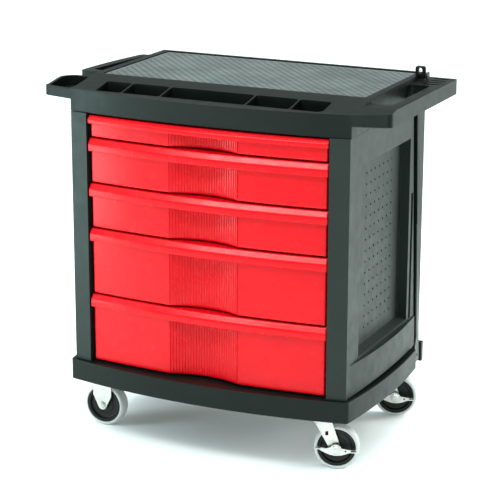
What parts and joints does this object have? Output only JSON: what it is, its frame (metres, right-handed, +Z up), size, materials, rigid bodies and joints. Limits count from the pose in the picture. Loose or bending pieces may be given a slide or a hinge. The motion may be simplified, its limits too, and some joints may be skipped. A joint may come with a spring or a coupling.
{
  "type": "tool cart",
  "caption": "Mobile tool cart with bowed red drawers in a charcoal moulded cabinet, a work top with mat, parts tray and loop handle, and braked swivel casters.",
  "frame": {"origin": "on the floor under the middle of the whole cart's box", "axes": "+X along the length towards the large loop handle, +Y from the drawers to the back, +Z up"},
  "size_m": [0.829, 0.508, 0.8512],
  "materials": {
    "charcoal": "fine-textured moulded plastic, charcoal",
    "work_mat": "ribbed and woven-look mat, charcoal",
    "red_front": "satin moulded plastic, bright red",
    "red_tray": "satin moulded plastic, red",
    "zinc": "bright zinc plate",
    "tyre": "soft grey non-marking tyre",
    "hub": "black moulded hub",
    "dark_steel": "dark plated steel"
  },
  "bodies": {
    "cart_body": {"base_tray": "charcoal", "side_panel_left": "charcoal", "side_panel_right": "charcoal", "back_panel": "charcoal", "runner_rack_left": "charcoal", "runner_rack_right": "charcoal", "top_deck": "charcoal", "work_mat": "work_mat", "rigid_front_fork": "zinc", "rigid_front_axle": "zinc", "rigid_rear_fork": "zinc", "rigid_rear_axle": "zinc", "swivel_front_plate": "zinc", "swivel_front_kingpin": "zinc", "swivel_rear_plate": "zinc", "swivel_rear_kingpin": "zinc", "hasp_staple": "dark_steel"},
    "drawer_1": {"drawer_1_front": "red_front", "drawer_1_tray": "red_tray"},
    "drawer_2": {"drawer_2_front": "red_front", "drawer_2_tray": "red_tray"},
    "drawer_3": {"drawer_3_front": "red_front", "drawer_3_tray": "red_tray"},
    "drawer_4": {"drawer_4_front": "red_front", "drawer_4_tray": "red_tray"},
    "drawer_5": {"drawer_5_front": "red_front", "drawer_5_tray": "red_tray"},
    "rigid_front_wheel": {"rigid_front_hub": "hub", "rigid_front_tyre": "tyre"},
    "rigid_rear_wheel": {"rigid_rear_hub": "hub", "rigid_rear_tyre": "tyre"},
    "swivel_front_yoke": {"swivel_front_fork": "zinc", "swivel_front_axle": "zinc"},
    "swivel_front_wheel": {"swivel_front_hub": "hub", "swivel_front_tyre": "tyre"},
    "swivel_front_pedal": {"swivel_front_brake": "zinc"},
    "swivel_rear_yoke": {"swivel_rear_fork": "zinc", "swivel_rear_axle": "zinc"},
    "swivel_rear_wheel": {"swivel_rear_hub": "hub", "swivel_rear_tyre": "tyre"},
    "swivel_rear_pedal": {"swivel_rear_brake": "zinc"},
    "lock_bar": {"lock_bar": "zinc"}
  },
  "joints": [
    {"name": "drawer_1_slide", "type": "slide", "parent": "cart_body", "child": "drawer_1", "axis": [0, -1, 0], "range_m": [0, 0.33]},
    {"name": "drawer_2_slide", "type": "slide", "parent": "cart_body", "child": "drawer_2", "axis": [0, -1, 0], "range_m": [0, 0.33]},
    {"name": "drawer_3_slide", "type": "slide", "parent": "cart_body", "child": "drawer_3", "axis": [0, -1, 0], "range_m": [0, 0.33]},
    {"name": "drawer_4_slide", "type": "slide", "parent": "cart_body", "child": "drawer_4", "axis": [0, -1, 0], "range_m": [0, 0.33]},
    {"name": "drawer_5_slide", "type": "slide", "parent": "cart_body", "child": "drawer_5", "axis": [0, -1, 0], "range_m": [0, 0.33]},
    {"name": "rigid_front_spin", "type": "hinge", "parent": "cart_body", "child": "rigid_front_wheel", "pos_m": [-0.303, -0.125, 0.0508], "axis": [0, 1, 0], "continuous": true},
    {"name": "rigid_rear_spin", "type": "hinge", "parent": "cart_body", "child": "rigid_rear_wheel", "pos_m": [-0.303, 0.212, 0.0508], "axis": [0, 1, 0], "continuous": true},
    {"name": "swivel_front_turn", "type": "hinge", "parent": "cart_body", "child": "swivel_front_yoke", "pos_m": [0.257, -0.15, 0.12], "axis": [0, 0, 1], "continuous": true},
    {"name": "swivel_front_spin", "type": "hinge", "parent": "swivel_front_yoke", "child": "swivel_front_wheel", "pos_m": [0.28743, -0.14011, 0.0508], "axis": [-0.309, 0.9511, 0], "continuous": true},
    {"name": "swivel_front_brake", "type": "hinge", "parent": "swivel_front_yoke", "child": "swivel_front_pedal", "pos_m": [0.28743, -0.14011, 0.0508], "axis": [-0.309, 0.9511, 0], "range_deg": [-10, 10]},
    {"name": "swivel_rear_turn", "type": "hinge", "parent": "cart_body", "child": "swivel_rear_yoke", "pos_m": [0.257, 0.214, 0.12], "axis": [0, 0, 1], "continuous": true},
    {"name": "swivel_rear_spin", "type": "hinge", "parent": "swivel_rear_yoke", "child": "swivel_rear_wheel", "pos_m": [0.28743, 0.22389, 0.0508], "axis": [-0.309, 0.9511, 0], "continuous": true},
    {"name": "swivel_rear_brake", "type": "hinge", "parent": "swivel_rear_yoke", "child": "swivel_rear_pedal", "pos_m": [0.28743, 0.22389, 0.0508], "axis": [-0.309, 0.9511, 0], "range_deg": [-10, 10]},
    {"name": "lock_bar_lift", "type": "slide", "parent": "cart_body", "child": "lock_bar", "axis": [0, -0.0688, 0.9976], "range_m": [0, 0.02]}
  ]
}
